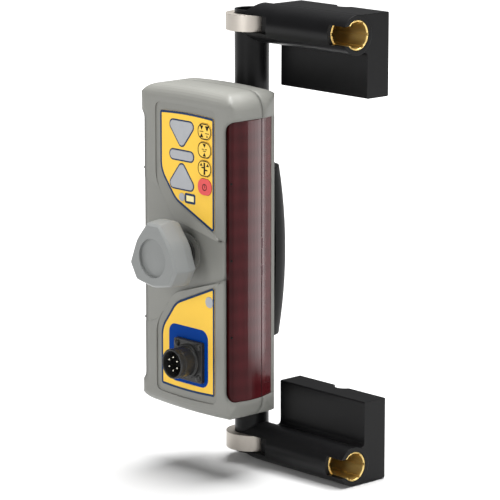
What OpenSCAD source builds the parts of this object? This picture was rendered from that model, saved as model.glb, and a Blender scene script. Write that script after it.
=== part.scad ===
// Laser receiver clamped on a mast that two magnetic brackets hold on a machine.
// Millimetres. The origin is on the mast's axis at its mid height, +X runs along
// the bracket arms, -Y is the keypad side and +Z is up.

/* [Mast] */
// Outer diameter of the mast tube
mast_d = 25.4; // [22:0.1:28]
// Wall of the mast tube
mast_wall = 2; // [1.5:0.1:3]
// Length of the mast tube
mast_length = 332; // [320:1:360]

/* [Brackets] */
// Distance from each end of the mast in to the arm's axis
arm_in = 9; // [7:0.5:14]
// Diameter of the round arm
arm_d = 28.8; // [27:0.1:32]
// Reach of the arm from the mast's axis
arm_reach = 109; // [95:1:125]
// Distance from the mast's axis to the magnet plate
plate_start = 20.5; // [18:0.5:26]
// Distance from the arm's axis back to the plate's front face
plate_front = 10.1; // [9:0.1:12]
// Thickness of the magnet plate
plate_t = 21.1; // [18:0.1:25]
// Height of the bracket from the arm's outer side to the plate's free edge
bracket_h = 60.7; // [52:0.1:66]
// Width of the groove between the two magnets
groove_w = 16; // [12:1:20]
// Depth of the groove between the two magnets
groove_depth = 6; // [4:0.5:9]
// Outer diameter of the brass bush
bush_d = 22.2; // [21:0.1:23]
// Bore of the brass bush
bush_bore = 19.05; // [17:0.05:19.5]
// Length of the brass bush
bush_length = 45; // [36:1:48]
// Length of the side notch at the arm's open end
notch_length = 15.6; // [12:0.1:18]
// Width of the side notch
notch_w = 14; // [10:0.5:16]
// Outer diameter of the clamp ring
ring_d = 38.4; // [37:0.1:40]
// Height of the clamp ring
ring_h = 12; // [9:0.5:14]

/* [Receiver] */
// Height of the receiver's middle on the mast
receiver_z = -6; // [-8:1:-4]
// Width of the case over its end caps
body_w = 100; // [94:1:106]
// Height of the case at its middle
body_h = 241; // [234:1:248]
// Distance from the mast's axis to the front face
front_reach = 66; // [63:0.5:69]
// Distance from the mast's axis to the rear face
rear_reach = 16.5; // [16:0.5:18]
// Distance from the mast's axis to the seam between the case halves
seam_reach = 36; // [34:0.5:39]
// Wall of the case
wall = 4.5; // [4:0.1:5]
// Radius of the case's front edges
front_round = 10; // [8:0.5:12]
// Radius of the case's rear edges
rear_round = 8; // [6:0.5:10]
// Height of the windows
window_h = 205; // [195:1:208]
// Thickness of a window pane
pane_t = 2.5; // [2:0.1:2.5]
// Overhang of the end caps over the windows
cap_lip = 2; // [1.5:0.1:2]
// Depth of the finger valley at its deep side
valley_depth = 2.5; // [1.5:0.1:3]
// Thickness of a label plate
label_t = 0.5; // [0.3:0.1:0.6]

/* [Keys] */
// Width of a key
key_w = 14.4; // [12:0.1:15]
// Height of a key
key_h = 11.8; // [10:0.1:12.4]
// Spacing of the keys
key_pitch = 13.4; // [13:0.1:14]
// Travel of a key
key_travel = 0.6; // [0.4:0.1:0.8]

/* [Connector] */
// Side of the square connector flange
flange_w = 30.2; // [28:0.1:32]
// Distance between the flange's screws
flange_pitch = 23; // [22:0.1:24]
// Outer diameter of the connector barrel
barrel_d = 22.2; // [20:0.1:22.4]
// Length of the connector barrel
barrel_length = 15.5; // [12:0.5:18]
// Number of contact pins
pin_count = 6; // [3:1:7]

/* [Clamp] */
// Size of the knob across its short sides
knob_w = 53; // [46:1:56]
// Thickness of the knob's rim
knob_t = 15; // [12:0.5:18]
// Gap from the case to the back of the knob's rim
knob_gap = 16.6; // [12:0.2:20]
// Diameter of the knob's stud
stud_d = 10; // [8:0.5:12]
// Opening travel of the jaw
jaw_travel = 10; // [6:0.5:10]
// Height of the jaw
jaw_h = 126; // [110:1:134]
// Radius of the jaw at its middle
jaw_mid_r = 24.8; // [23.6:0.1:27]
// Radius of the jaw at its ends
jaw_end_r = 20; // [18.5:0.1:21]
// Distance between the two draw rods
rod_pitch = 37.5; // [37:0.5:39]
// Diameter of a draw rod
rod_d = 7; // [6:0.5:8]

/* [Hidden] */

$fn = 72;
// Overrun of a cut past the face it opens
over = 1;
// Steps of one rounded corner
corner_steps = 7;
// Most of an edge that one corner's round may take
fit_share = 0.78;
// Least radius left on an inset corner
least_r = 0.4;
// Running fit of turning and sliding faces
fit = 0.05;
// Gap round a piece that is bonded or dropped into a cut-out
seat_gap = 0.1;
// Free gap between moving pieces
free_gap = 0.3;

function unit(v) = v / norm(v);
function flat(p) = [p.x, p.y];

// Arc that rounds the corner b between the edges to a and c
function corner(a, b, c, r) =
  let (
    u = unit(a - b),
    v = unit(c - b),
    half = acos(u * v) / 2,
    reach = fit_share * min(norm(a - b), norm(c - b)),
    round_r = min(r, reach * tan(half)),
    centre = b + unit(u + v) * round_r / sin(half),
    p = b + u * round_r / tan(half) - centre,
    q = b + v * round_r / tan(half) - centre,
    start = atan2(p.y, p.x),
    turn = atan2(p.x * q.y - p.y * q.x, p * q)
  )
  [for (i = [0:corner_steps])
    centre + round_r * [cos(start + turn * i / corner_steps), sin(start + turn * i / corner_steps)]];

// Outline through corners of [x, y, radius], counter-clockwise
function rounded(cs) =
  let (n = len(cs))
  [for (i = [0:n - 1])
    let (a = flat(cs[(i + n - 1) % n]), b = flat(cs[i]), c = flat(cs[(i + 1) % n]))
    each (cs[i][2] > 0 ? corner(a, b, c, cs[i][2]) : [b])];

// The same corners with every edge moved in by d
function inset(cs, d) =
  let (n = len(cs))
  [for (i = [0:n - 1])
    let (
      b = flat(cs[i]),
      u = unit(flat(cs[(i + n - 1) % n]) - b),
      v = unit(flat(cs[(i + 1) % n]) - b),
      side = v.x * u.y - v.y * u.x > 0 ? 1 : -1,
      p = b + side * unit(u + v) * d / sin(acos(u * v) / 2)
    )
    [p.x, p.y, max(cs[i][2] - side * d, least_r)]];

// Extrusions of an outline along +X, -Y and +Z
module along_x(h) { rotate([90, 0, 90]) linear_extrude(h) children(); }
module along_front(h) { rotate([90, 0, 0]) linear_extrude(h) children(); }
module shape(cs) { polygon(rounded(cs)); }
// Round bars along +X and +Y
module bar_x(r, h) { rotate([0, 90, 0]) cylinder(r = r, h = h); }
module bar_y(r, h) { rotate([-90, 0, 0]) cylinder(r = r, h = h); }
// Children and their mirror images across the X = 0 plane
module both_sides() { children(); mirror([1, 0, 0]) children(); }

// Mast
mast_r = mast_d / 2;
arm_z = mast_length / 2 - arm_in;

module mast() {
  color("#1c1c1c") difference() {
    cylinder(r = mast_r, h = mast_length, center = true);
    cylinder(r = mast_r - mast_wall, h = mast_length + 2 * over, center = true);
  }
}

// Bracket, drawn for the upper one with its arm's axis on X
arm_r = arm_d / 2;
plate_back = plate_front + plate_t;
plate_low = arm_r - bracket_h;
plate_mid = (plate_start + arm_reach) / 2;
// Radius of the fillet between arm and plate, of the plate's corner by the mast and of its edges
arm_fillet = 3;
root_fillet = 8;
edge_round = 1.2;
web_back = arm_r - edge_round;
// Where the arm starts beside the mast's axis
arm_start = 2;
// How far the plate's flat top stands below the arm's crown
crown_drop = 0.15;
// Steps of the fillet's arc
fillet_steps = 8;
fillet_y = plate_front - arm_fillet;
fillet_z = -sqrt(pow(arm_r + arm_fillet, 2) - pow(fillet_y, 2));
fillet_angle = atan2(fillet_z, fillet_y);
// Bulkhead that the clamp stem passes through
bulkhead_start = 24;
bulkhead_t = 14;
stem_d = 8;
ring_r = ring_d / 2;
// Play of the clamp ring when it is let go
ring_play = 0.8;
ring_bore_r = mast_r + fit + ring_play / 2;
ring_neck_w = 13;
slot_reach = ring_r + ring_play + free_gap;
// Mouth that shows the ring at the arm's front: wall left beside the neck, and room past the slot
mouth_wall = 1.2;
mouth_room = 3.3;
mouth_y = ring_neck_w / 2 + free_gap + mouth_wall;
mouth_x = slot_reach + mouth_room;
// Magnets
magnet_margin = 4;
magnet_t = 7;
magnet_proud = 0.5;
magnet_w = (arm_reach - plate_start - groove_w) / 2 - 2 * magnet_margin;
magnet_h = bracket_h - 2 * magnet_margin;
magnet_edge = 1;
// Grooves inside the bush
spline_count = 6;
spline_w = 2.2;
spline_depth = 0.7;
bush_start = arm_reach - bush_length;
bush_chamfer = 0.6;
// Nut on the clamp stem
nut_d = 16;
nut_t = 9;
nut_key_d = 8;
nut_key_depth = 5;
hex_sides = 6;
nut_start = bulkhead_start + bulkhead_t;

// Plate and fillet seen along +X, in Y and Z, running into the arm
module plate_profile() {
  polygon(concat(
    [[0, 0]],
    [for (i = [1:fillet_steps])
      let (a = fillet_angle + 180 - (180 + fillet_angle) * i / fillet_steps)
      [fillet_y, fillet_z] + arm_fillet * [cos(a), sin(a)]],
    rounded([[plate_front, plate_low, edge_round], [plate_back, plate_low, edge_round],
      [plate_back, arm_r - crown_drop, edge_round], [0, arm_r - crown_drop, 0]])));
}

module magnet_places() {
  for (x = [plate_start + magnet_margin, arm_reach - magnet_margin - magnet_w])
    translate([x, plate_back + magnet_proud - magnet_t, plate_low + magnet_margin]) children();
}

module arm() {
  color("#202020") difference() {
    union() {
      translate([arm_start, 0, 0]) bar_x(arm_r, arm_reach - arm_start);
      // Web that rounds the arm into the plate's front beside the mast
      translate([plate_start - root_fillet, web_back, 0]) along_front(web_back - plate_front)
        translate([0, -arm_r / 2 - root_fillet]) difference() {
          square([root_fillet, root_fillet + arm_r / 2]);
          translate([-seat_gap, 0]) circle(r = root_fillet);
        }
    }
    cylinder(r = mast_r + fit, h = 2 * bracket_h, center = true);
    cylinder(r = slot_reach, h = ring_h + 2 * free_gap, center = true);
    translate([0, 0, -ring_h / 2 - free_gap]) linear_extrude(ring_h + 2 * free_gap)
      polygon([[0, -mouth_y], [mouth_x, -mouth_y], [mouth_x + arm_d - mouth_y, -arm_d], [0, -arm_d]]);
    // Ring neck, stem and the bore for nut and bush
    bar_x(ring_neck_w / 2 + free_gap, bulkhead_start);
    bar_x(stem_d / 2 + free_gap, arm_reach);
    translate([nut_start, 0, 0]) bar_x(bush_d / 2, arm_reach);
    translate([arm_reach - notch_length, -arm_d, -notch_w / 2]) cube([arm_d, arm_d, notch_w]);
  }
}

module plate() {
  color("#202020") difference() {
    translate([plate_start, 0, 0]) along_x(arm_reach - plate_start) plate_profile();
    bar_x(arm_r + fit / 2, 2 * arm_reach);
    translate([plate_mid, plate_back + groove_w / 2 - groove_depth, -bracket_h])
      cylinder(r = groove_w / 2, h = 2 * bracket_h);
    magnet_places() translate([-seat_gap, 0, -seat_gap])
      cube([magnet_w + 2 * seat_gap, magnet_t + over, magnet_h + 2 * seat_gap]);
  }
}

module socket_bush() {
  color("#cdaf5f") difference() {
    translate([bush_start, 0, 0]) rotate([0, 90, 0]) rotate_extrude() polygon([
      [bush_bore / 2, 0], [bush_d / 2 - fit, 0], [bush_d / 2 - fit, bush_length - bush_chamfer],
      [bush_d / 2 - bush_chamfer, bush_length], [bush_bore / 2 + bush_chamfer, bush_length],
      [bush_bore / 2, bush_length - bush_chamfer]]);
    for (i = [0:spline_count - 1]) rotate([180 * (2 * i + 1) / spline_count, 0, 0])
      translate([bush_start - over, -spline_w / 2, 0])
        cube([bush_length + 2 * over, spline_w, bush_bore / 2 + spline_depth]);
    translate([arm_reach - notch_length, -arm_d, -notch_w / 2]) cube([arm_d, arm_d, notch_w]);
  }
}

module magnets() {
  color("#55585c") magnet_places() translate([magnet_w / 2, magnet_t, magnet_h / 2]) along_front(magnet_t)
    shape([[-magnet_w / 2, -magnet_h / 2, magnet_edge], [magnet_w / 2, -magnet_h / 2, magnet_edge],
      [magnet_w / 2, magnet_h / 2, magnet_edge], [-magnet_w / 2, magnet_h / 2, magnet_edge]]);
}

// Band round the mast with a neck and a stem that the nut draws into the arm
module clamp_ring() {
  color("#b9b4ac") difference() {
    union() {
      cylinder(r = ring_r, h = ring_h, center = true);
      bar_x(ring_neck_w / 2 - free_gap, bulkhead_start - ring_play - free_gap);
      bar_x(stem_d / 2, nut_start + nut_t - nut_key_depth);
    }
    translate([ring_play / 2, 0, 0]) cylinder(r = ring_bore_r, h = ring_d, center = true);
  }
}

module clamp_nut() {
  color("#8c8c8a") translate([nut_start + free_gap / 2, 0, 0]) difference() {
    bar_x(nut_d / 2, nut_t);
    translate([-over, 0, 0]) bar_x(stem_d / 2 + fit, nut_t - nut_key_depth + over);
    translate([nut_t - nut_key_depth, 0, 0]) rotate([0, 90, 0])
      cylinder(d = nut_key_d / cos(180 / hex_sides), h = nut_t, $fn = hex_sides);
  }
}

// Upper and lower copies of a bracket piece
module upper() { translate([0, 0, arm_z]) children(); }
module lower() { mirror([0, 0, 1]) translate([0, 0, arm_z]) children(); }

// Receiver case, drawn with its middle at Z = 0
half_w = body_w / 2;
half_h = body_h / 2;
front_y = -front_reach;
rear_y = -rear_reach;
seam_y = -seam_reach;
seam_t = 0.5;
// How far the plan's corners stand inside, and its side corner outside, the half width
front_taper = 0.8;
side_bulge = 3.4;
rear_taper = 5.5;
side_r = 47;
plan_front_r = 5;
plan_rear_r = 9;
// Radius of the arched ends and of the case's corners, and the roof that touches both
end_arc_r = 700;
end_corner_r = 14;
drum_steps = 180;
roof_angle = asin((half_w - end_corner_r) / (end_arc_r - end_corner_r));
end_axis_z = half_h - end_arc_r;
ridge_z = end_axis_z + end_arc_r / cos(roof_angle);
eave_z = ridge_z - half_w * tan(roof_angle);

plan_corners = [
  [front_taper - half_w, front_y, plan_front_r], [half_w - front_taper, front_y, plan_front_r],
  [half_w + side_bulge, (front_y + rear_y) / 2, side_r],
  [half_w - rear_taper, rear_y, plan_rear_r], [rear_taper - half_w, rear_y, plan_rear_r],
  [-half_w - side_bulge, (front_y + rear_y) / 2, side_r]];

face_corners = [
  [-half_w, -eave_z, end_corner_r], [0, -ridge_z, 0], [half_w, -eave_z, end_corner_r],
  [half_w, eave_z, end_corner_r], [0, ridge_z, 0], [-half_w, eave_z, end_corner_r]];

// Drum of the upper end's arc, its front and rear edges rounded
module end_drum(d) {
  drum_r = end_arc_r - d;
  translate([0, 0, end_axis_z]) rotate([90, 0, 0]) rotate_extrude($fn = drum_steps)
    shape([[0, rear_reach + d, 0], [drum_r, rear_reach + d, max(rear_round - d, least_r)],
      [drum_r, front_reach - d, front_round - d], [0, front_reach - d, 0]]);
}

// Case with rounded edges and arched ends, drawn in by d
module case_solid(d = 0) {
  intersection() {
    linear_extrude(2 * body_h, center = true) shape(inset(plan_corners, d));
    along_front(2 * front_reach) shape(inset(face_corners, d));
    end_drum(d);
    mirror([0, 0, 1]) end_drum(d);
  }
}

// Windows
window_drop = 1.5;
window_top = window_h / 2 - window_drop;
window_low = window_top - window_h;
window_corner_r = 7;
window_x = half_w - front_taper - plan_front_r;
window_turn = 45;
pane_x = window_x - 3 * wall / 2;

// Outline of a pane seen along its opening, from y0 to y1, grown by g above and below
module pane_outline(y0, y1, r, g) {
  shape([[y0, window_low - g, r], [y1, window_low - g, 0], [y1, window_top + g, 0], [y0, window_top + g, r]]);
}

// Room for a front pane, on the +X side: it wraps the front corner and ends at the seam
module front_opening(g) {
  intersection() {
    translate([window_x, front_y, 0]) rotate([0, 0, -window_turn]) translate([-body_w, 0, 0])
      along_x(2 * body_w) pane_outline(-g, body_w, window_corner_r, g);
    translate([pane_x - g, -2 * front_reach, -body_h])
      cube([body_w, 2 * front_reach + seam_y + 2 * g, 2 * body_h]);
  }
}

// Room for a rear pane, from the seam to the rear edge
module rear_opening(g) {
  translate([window_x - g, 0, 0]) along_x(half_w) pane_outline(seam_y + seam_t - 2 * g, rear_y + wall, 0, g);
}

// Pane that fills an opening, set back from the end caps
module pane() {
  intersection() {
    children();
    translate([0, 0, -body_h]) linear_extrude(2 * body_h) difference() {
      shape(inset(plan_corners, cap_lip));
      shape(inset(plan_corners, cap_lip + pane_t));
    }
  }
}

// Front panels, labels and what sits in them. Corners are [x, z, radius].
panel_depth = 1;
panel_y = front_y + panel_depth;
arch_r = 500;
panel_right = 33;
panel_left = -32;
panel_end_r = 5;
panel_sweep_r = 24;
upper_panel_top = 107;
upper_panel_arch = 1.7;
upper_panel_tip = 15.4;
upper_panel_knee = 23.4;
lower_panel_end = -108;
lower_panel_arch = 1.7;
lower_panel_tip = -17.2;
lower_panel_knee = -32;
knee_x = -13;
sweep_z = 26;

upper_panel_corners = [
  [knee_x, upper_panel_knee, panel_sweep_r], [panel_right, upper_panel_tip, least_r],
  [panel_right, upper_panel_top, panel_end_r], [0, upper_panel_top + upper_panel_arch, arch_r],
  [panel_left, upper_panel_top, panel_end_r], [panel_left, upper_panel_knee + sweep_z, panel_sweep_r]];

lower_panel_corners = [
  [panel_left, lower_panel_end, panel_end_r], [0, lower_panel_end - lower_panel_arch, arch_r],
  [panel_right, lower_panel_end, panel_end_r], [panel_right, lower_panel_tip, least_r],
  [knee_x, lower_panel_knee, panel_sweep_r], [panel_left, lower_panel_knee - sweep_z, panel_sweep_r]];

// Valley between the panels: its borders run on to the right past the panels' tips
valley_end = half_w + wall;
valley_run = (valley_end - knee_x) / (panel_right - knee_x);
valley_corners = [
  [-body_w, lower_panel_knee - sweep_z, 0], [panel_left, lower_panel_knee - sweep_z, panel_sweep_r],
  [knee_x, lower_panel_knee, panel_sweep_r],
  [valley_end, lower_panel_knee + valley_run * (lower_panel_tip - lower_panel_knee), 0],
  [valley_end, upper_panel_knee + valley_run * (upper_panel_tip - upper_panel_knee), 0],
  [knee_x, upper_panel_knee, panel_sweep_r],
  [panel_left, upper_panel_knee + sweep_z, panel_sweep_r], [-body_w, upper_panel_knee + sweep_z, 0]];

// Labels stand in from the panels
label_left_in = 5;
label_right_in = 2;
label_left = panel_left + label_left_in;
label_right = panel_right - label_right_in;
label_top = 8;
label_foot = 5.5;
label_tip = 3.2;
label_knee = 14;
lower_label_tip = 4;
lower_label_knee = 6.5;
label_sweep = 8;
label_sweep_r = 20;
label_r = 2;
upper_label_corners = [
  [knee_x + label_r, upper_panel_knee + label_knee, label_sweep_r],
  [label_right, upper_panel_tip + label_tip, label_r],
  [label_right, upper_panel_top - label_top, label_r],
  [0, upper_panel_top + upper_panel_arch - label_top, arch_r],
  [label_left, upper_panel_top - label_top, label_r],
  [label_left, upper_panel_knee + sweep_z + label_sweep, label_sweep_r]];

lower_label_corners = [
  [label_left, lower_panel_end + label_foot, label_r],
  [0, lower_panel_end - lower_panel_arch + label_foot, arch_r],
  [label_right, lower_panel_end + label_foot, label_r],
  [label_right, lower_panel_tip - lower_label_tip, label_r],
  [knee_x + label_r, lower_panel_knee - lower_label_knee, label_sweep_r],
  [label_left, lower_panel_knee - sweep_z - label_r, label_sweep_r]];

// Indicator lenses in a column left of the keys
lens_x = -3.6;
lens_w = 25;
lens_r = 3.2;
arrow_h = 16.4;
bar_h = 6.4;
down_z = 87.5;
bar_z = 70.8;
up_z = 54.6;
lens_proud = 0.3;
battery_z = 40.3;
battery_d = 6;
status_x = 25.7;
status_z = -33;
status_d = 8;
lens_round = 36;

// Arrow that points down, its flat side at the top, centred on its height
function arrow_corners(grow) = inset([
  [-lens_w / 2 - lens_r, arrow_h / 2, lens_r], [0, -arrow_h / 2 - lens_r, lens_r],
  [lens_w / 2 + lens_r, arrow_h / 2, lens_r]], -grow);

function bar_corners(w, h, r, grow) = inset([
  [-w / 2, -h / 2, r], [w / 2, -h / 2, r], [w / 2, h / 2, r], [-w / 2, h / 2, r]], -grow);

module down_arrow_shape(g) { translate([lens_x, down_z]) shape(arrow_corners(g)); }
module up_arrow_shape(g) { translate([lens_x, up_z]) rotate(180) shape(arrow_corners(g)); }
module level_bar_shape(g) { translate([lens_x, bar_z]) shape(bar_corners(lens_w, bar_h, lens_r, g)); }
module battery_shape(g) { translate([lens_x, battery_z]) circle(d = battery_d + 2 * g, $fn = lens_round); }
module status_shape(g) { translate([status_x, status_z]) circle(d = status_d + 2 * g, $fn = lens_round); }

module upper_lens_shapes(g) {
  down_arrow_shape(g);
  up_arrow_shape(g);
  level_bar_shape(g);
  battery_shape(g);
}

// Keys
key_x = 21.3;
key_top_z = 91.2;
key_r = 5.4;
key_gap = 0.25;
key_proud = 0.5;
key_flange = 1.2;
key_flange_t = 1;
plunger_d = 4;

module key_shape(g) { shape(bar_corners(key_w, key_h, key_r, g)); }
module key_places(first, last) {
  for (i = [first:last]) translate([key_x, 0, key_top_z - i * key_pitch]) children();
}

// Inner face of the front wall and the board behind it
inner_front_y = front_y + wall;
inner_rear_y = rear_y - wall;
board_t = 1.6;
switch_t = 1.4;
key_back_y = inner_front_y + seat_gap + key_flange_t;
indicator_y = key_back_y + plunger_d / 2 + key_travel + switch_t;

// Connector
connector_x = 5;
connector_z = -79.4;
flange_t = 2.4;
flange_r = 1.6;
flange_gasket_t = 1;
flange_y = panel_y - flange_gasket_t;
barrel_wall = 1.6;
barrel_tail_d = 19;
barrel_tail = 9;
insert_depth = 8;
insert_t = 6;
pin_d = 1.6;
pin_circle_d = 10;
pin_length = 16;
pin_end = 1;
screw_d = 3;
screw_head_d = 5.4;
screw_head_t = 1.8;
screw_length = 6;

module connector_place() { translate([connector_x, 0, connector_z]) children(); }
module flange_screw_places() {
  for (x = [-1, 1], z = [-1, 1])
    connector_place() translate([x * flange_pitch / 2, 0, z * flange_pitch / 2]) children();
}

// Case screws and their bosses
boss_x = 31;
boss_inset = 6.5;
boss_z = half_h - end_corner_r - boss_inset;
boss_d = 9;
case_screw_d = 3.5;
case_head_d = 6.4;
case_head_t = 3;

module boss_places() {
  for (x = [-1, 1], z = [-1, 1]) translate([x * boss_x, 0, z * boss_z]) children();
}

// Clamp
stud_r = stud_d / 2;
bush_flange_d = 22;
bush_flange_t = 1.6;
bush_sleeve_d = 16;
clamp_boss_d = 30;
circlip_d = 15;
circlip_t = 1.2;
circlip_grip = 0.8;
circlip_y = inner_front_y + free_gap;
groove_r = stud_r - circlip_grip;
rod_r = rod_d / 2;
rod_x = rod_pitch / 2;
yoke_t = 8;
yoke_h = 18;
yoke_space = 9;
yoke_y = inner_front_y + yoke_space;
yoke_end = 7;
stud_end_y = yoke_y + yoke_t + jaw_travel + free_gap;
pad_t = 1.5;
pad_r = mast_r + fit + pad_t;
jaw_gap = 1;
jaw_drop = 6.8;
jaw_low = -jaw_h / 2 - jaw_drop;
jaw_bow_steps = 12;
rod_cover = 2;
rod_end_y = sqrt(pow(jaw_mid_r, 2) - pow(rod_x + rod_r, 2)) - rod_cover;
seat_w = 48;
seat_h = 100;
seat_front = rear_y;
seat_back = -4;
seat_chamfer = 6;
hub_d = 20;
knob_back_y = front_y - knob_gap;
knob_front_y = knob_back_y - knob_t;
knob_dish_d = 28.5;
knob_dish_depth = 2.5;
knob_short = 13;
knob_bow = 23;
knob_bow_r = 24;
knob_edge = 2;
knob_flare = 1.2;
slice_t = 0.05;

module receiver() { translate([0, 0, receiver_z]) children(); }

// Cuts through the case walls
module front_cuts() {
  along_cut = wall + 2 * over;
  translate([0, panel_y, 0]) along_front(along_cut) {
    shape(upper_panel_corners);
    shape(lower_panel_corners);
  }
  intersection() {
    along_front(2 * front_reach) shape(valley_corners);
    linear_extrude(body_h, center = true) polygon([[-half_w, front_y], [-half_w, front_y - wall],
      [body_w, front_y - wall], [body_w, front_y + valley_depth * (body_w + half_w) / (2 * half_w)]]);
  }
}

module front_holes() {
  depth = 2 * wall;
  translate([0, inner_front_y + over, 0]) {
    along_front(depth) upper_lens_shapes(seat_gap);
    along_front(depth) status_shape(seat_gap);
    key_places(0, 3) along_front(depth) key_shape(key_gap);
    connector_place() along_front(depth) circle(d = barrel_tail_d + 2 * seat_gap);
    flange_screw_places() along_front(depth) circle(d = screw_d + 2 * seat_gap);
  }
  translate([0, -front_reach - wall, 0]) bar_y(bush_sleeve_d / 2 + seat_gap, 2 * wall + over);
}

module front_housing() {
  color("#8c8d86") difference() {
    union() {
      difference() {
        case_solid();
        case_solid(wall);
        front_cuts();
      }
      // Boss that the knob's bush stands on, and bosses for the case screws
      translate([0, front_y, 0]) bar_y(clamp_boss_d / 2, wall);
      intersection() {
        boss_places() translate([0, inner_front_y - over, 0]) bar_y(boss_d / 2, front_reach);
        case_solid(wall / 2);
      }
    }
    front_holes();
    both_sides() front_opening(seat_gap);
    boss_places() translate([0, inner_front_y + wall, 0]) bar_y(case_screw_d / 2 + seat_gap, front_reach);
    translate([-body_w, seam_y, -body_h]) cube([2 * body_w, body_w, 2 * body_h]);
  }
}

module rear_housing() {
  color("#85867f") difference() {
    union() {
      difference() {
        case_solid();
        case_solid(wall);
      }
      intersection() {
        boss_places() translate([0, seam_y, 0]) bar_y(boss_d / 2, front_reach);
        case_solid(wall / 2);
      }
    }
    both_sides() rear_opening(seat_gap);
    boss_places() translate([0, seam_y - over, 0]) bar_y(case_screw_d / 2 + seat_gap, front_reach);
    boss_places() translate([0, rear_y - case_head_t, 0]) bar_y(case_head_d / 2 + seat_gap, front_reach);
    both_sides() translate([rod_x, inner_rear_y - over, 0]) bar_y(rod_r + seat_gap, front_reach);
    translate([-body_w, seam_y + seam_t - 2 * body_w, -body_h]) cube([2 * body_w, 2 * body_w, 2 * body_h]);
  }
}

// Seal between the halves, set back from the surface so that the seam shows as a groove
module housing_gasket() {
  set_back = cap_lip / 2;
  color("#2a2a2a") difference() {
    intersection() {
      difference() {
        case_solid(set_back);
        case_solid(wall);
      }
      translate([-body_w, seam_y, -body_h]) cube([2 * body_w, seam_t, 2 * body_h]);
    }
    both_sides() translate([half_w - cap_lip - set_back, -front_reach, window_low])
      cube([body_w, front_reach, window_h]);
    boss_places() translate([0, seam_y - over, 0]) bar_y(boss_d / 2 + seat_gap, front_reach);
  }
}

module housing_screws() {
  color("#9a9a98") boss_places() {
    translate([0, rear_y - case_head_t, 0]) bar_y(case_head_d / 2, case_head_t - free_gap);
    translate([0, inner_front_y + 2 * wall, 0])
      bar_y(case_screw_d / 2, front_reach - rear_reach - 3 * wall - case_head_t + over);
  }
}

module keypad_label() {
  color("#fcd654") translate([0, panel_y, 0]) difference() {
    along_front(label_t) difference() {
      shape(upper_label_corners);
      upper_lens_shapes(seat_gap);
    }
    key_places(0, 3) translate([0, over, 0]) along_front(2 * over) key_shape(key_gap);
  }
}

module connector_label() {
  color("#fcd654") translate([0, panel_y, 0]) difference() {
    along_front(label_t) difference() {
      shape(lower_label_corners);
      status_shape(seat_gap);
    }
    connector_place() translate([0, over, 0]) along_front(2 * over)
      shape(bar_corners(flange_w, flange_w, flange_r, seat_gap));
  }
}

// Lens block through label and front wall
module lens() {
  color("#acaebc") translate([0, inner_front_y, 0])
    along_front(wall - panel_depth + label_t + lens_proud) children();
}

module key(i, paint) {
  color(paint) key_places(i, i) {
    translate([0, inner_front_y + seat_gap, 0])
      along_front(wall - panel_depth + label_t + key_proud + seat_gap) key_shape(0);
    translate([0, key_back_y, 0]) along_front(key_flange_t)
      shape(bar_corners(key_w, key_h - key_flange / 2, key_r, key_flange / 2));
    translate([0, key_back_y - key_flange_t / 2, 0]) bar_y(plunger_d / 2, (key_flange_t + plunger_d) / 2);
  }
}

module connector_shell() {
  color("#2d2826") connector_place() difference() {
    union() {
      translate([0, flange_y, 0]) along_front(flange_t)
        shape(bar_corners(flange_w, flange_w, flange_r, 0));
      translate([0, flange_y - flange_t - barrel_length, 0]) bar_y(barrel_d / 2, barrel_length + flange_t);
      translate([0, flange_y - over, 0]) bar_y(barrel_tail_d / 2, barrel_tail + over);
    }
    translate([0, -2 * front_reach, 0]) bar_y(barrel_d / 2 - barrel_wall, 2 * front_reach);
    for (x = [-1, 1], z = [-1, 1])
      translate([x * flange_pitch / 2, flange_y - flange_t - over, z * flange_pitch / 2])
        bar_y(screw_d / 2 + seat_gap, flange_t + 2 * over);
  }
}

insert_y = flange_y - flange_t - barrel_length + insert_depth;

module pin_places() {
  for (i = [0:pin_count - 1]) connector_place() rotate([0, 360 * (i + 1 / 2) / pin_count, 0])
    translate([pin_circle_d / 2, 0, 0]) children();
}

module connector_insert() {
  color("#161616") difference() {
    connector_place() translate([0, insert_y, 0]) bar_y(barrel_d / 2 - barrel_wall - fit, insert_t);
    pin_places() translate([0, -2 * front_reach, 0]) bar_y(pin_d / 2 + fit, 2 * front_reach);
  }
}

module connector_pins() {
  color("#d8d8d4") pin_places()
    translate([0, insert_y - insert_depth + pin_end, 0]) bar_y(pin_d / 2, pin_length);
}

module connector_screws() {
  color("#3a3634") flange_screw_places() translate([0, flange_y - flange_t, 0]) {
    translate([0, -screw_head_t, 0]) bar_y(screw_head_d / 2, screw_head_t);
    bar_y(screw_d / 2, screw_length);
  }
}

module connector_gasket() {
  color("#1b1b1b") difference() {
    connector_place() translate([0, panel_y, 0]) along_front(flange_gasket_t)
      shape(bar_corners(flange_w, flange_w, flange_r, 0));
    connector_place() translate([0, panel_y - wall, 0]) bar_y(barrel_tail_d / 2 + seat_gap, 2 * wall);
    flange_screw_places() translate([0, panel_y - wall, 0]) bar_y(screw_d / 2 + seat_gap, 2 * wall);
  }
}

// Boards, photocells and battery
board_r = 2;
main_board_w = 62;
main_board_h = 62;
main_board_z = -63;
main_board_space = 7;
main_board_y = inner_rear_y - main_board_space;
post_d = 4;
post_inset = 5;
strip_space = 2.4;
strip_x = window_x - wall - strip_space;
strip_margin = 4;
strip_t = board_t;
strip_gap = 0.7;
indicator_w = 2 * (strip_x - strip_t - strip_gap);
indicator_h = 64;
indicator_z = 63;
indicator_post_x = key_x + key_w / 2 + key_flange + post_d / 2;
strip_depth = 26;
cell_w = 9;
cell_h = 9;
cell_t = 1.4;
cell_count = 16;
cell_d = 14.5;
cell_length = 50;
pack_rows = 4;
pack_z = 62;
shrink_t = 0.5;

module board_plate(w, h) {
  along_front(board_t) shape(bar_corners(w, h, board_r, 0));
}

module post_places(x, h) {
  for (side = [-1, 1], end = [-1, 1])
    translate([side * x, 0, end * (h / 2 - post_inset)]) children();
}

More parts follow.
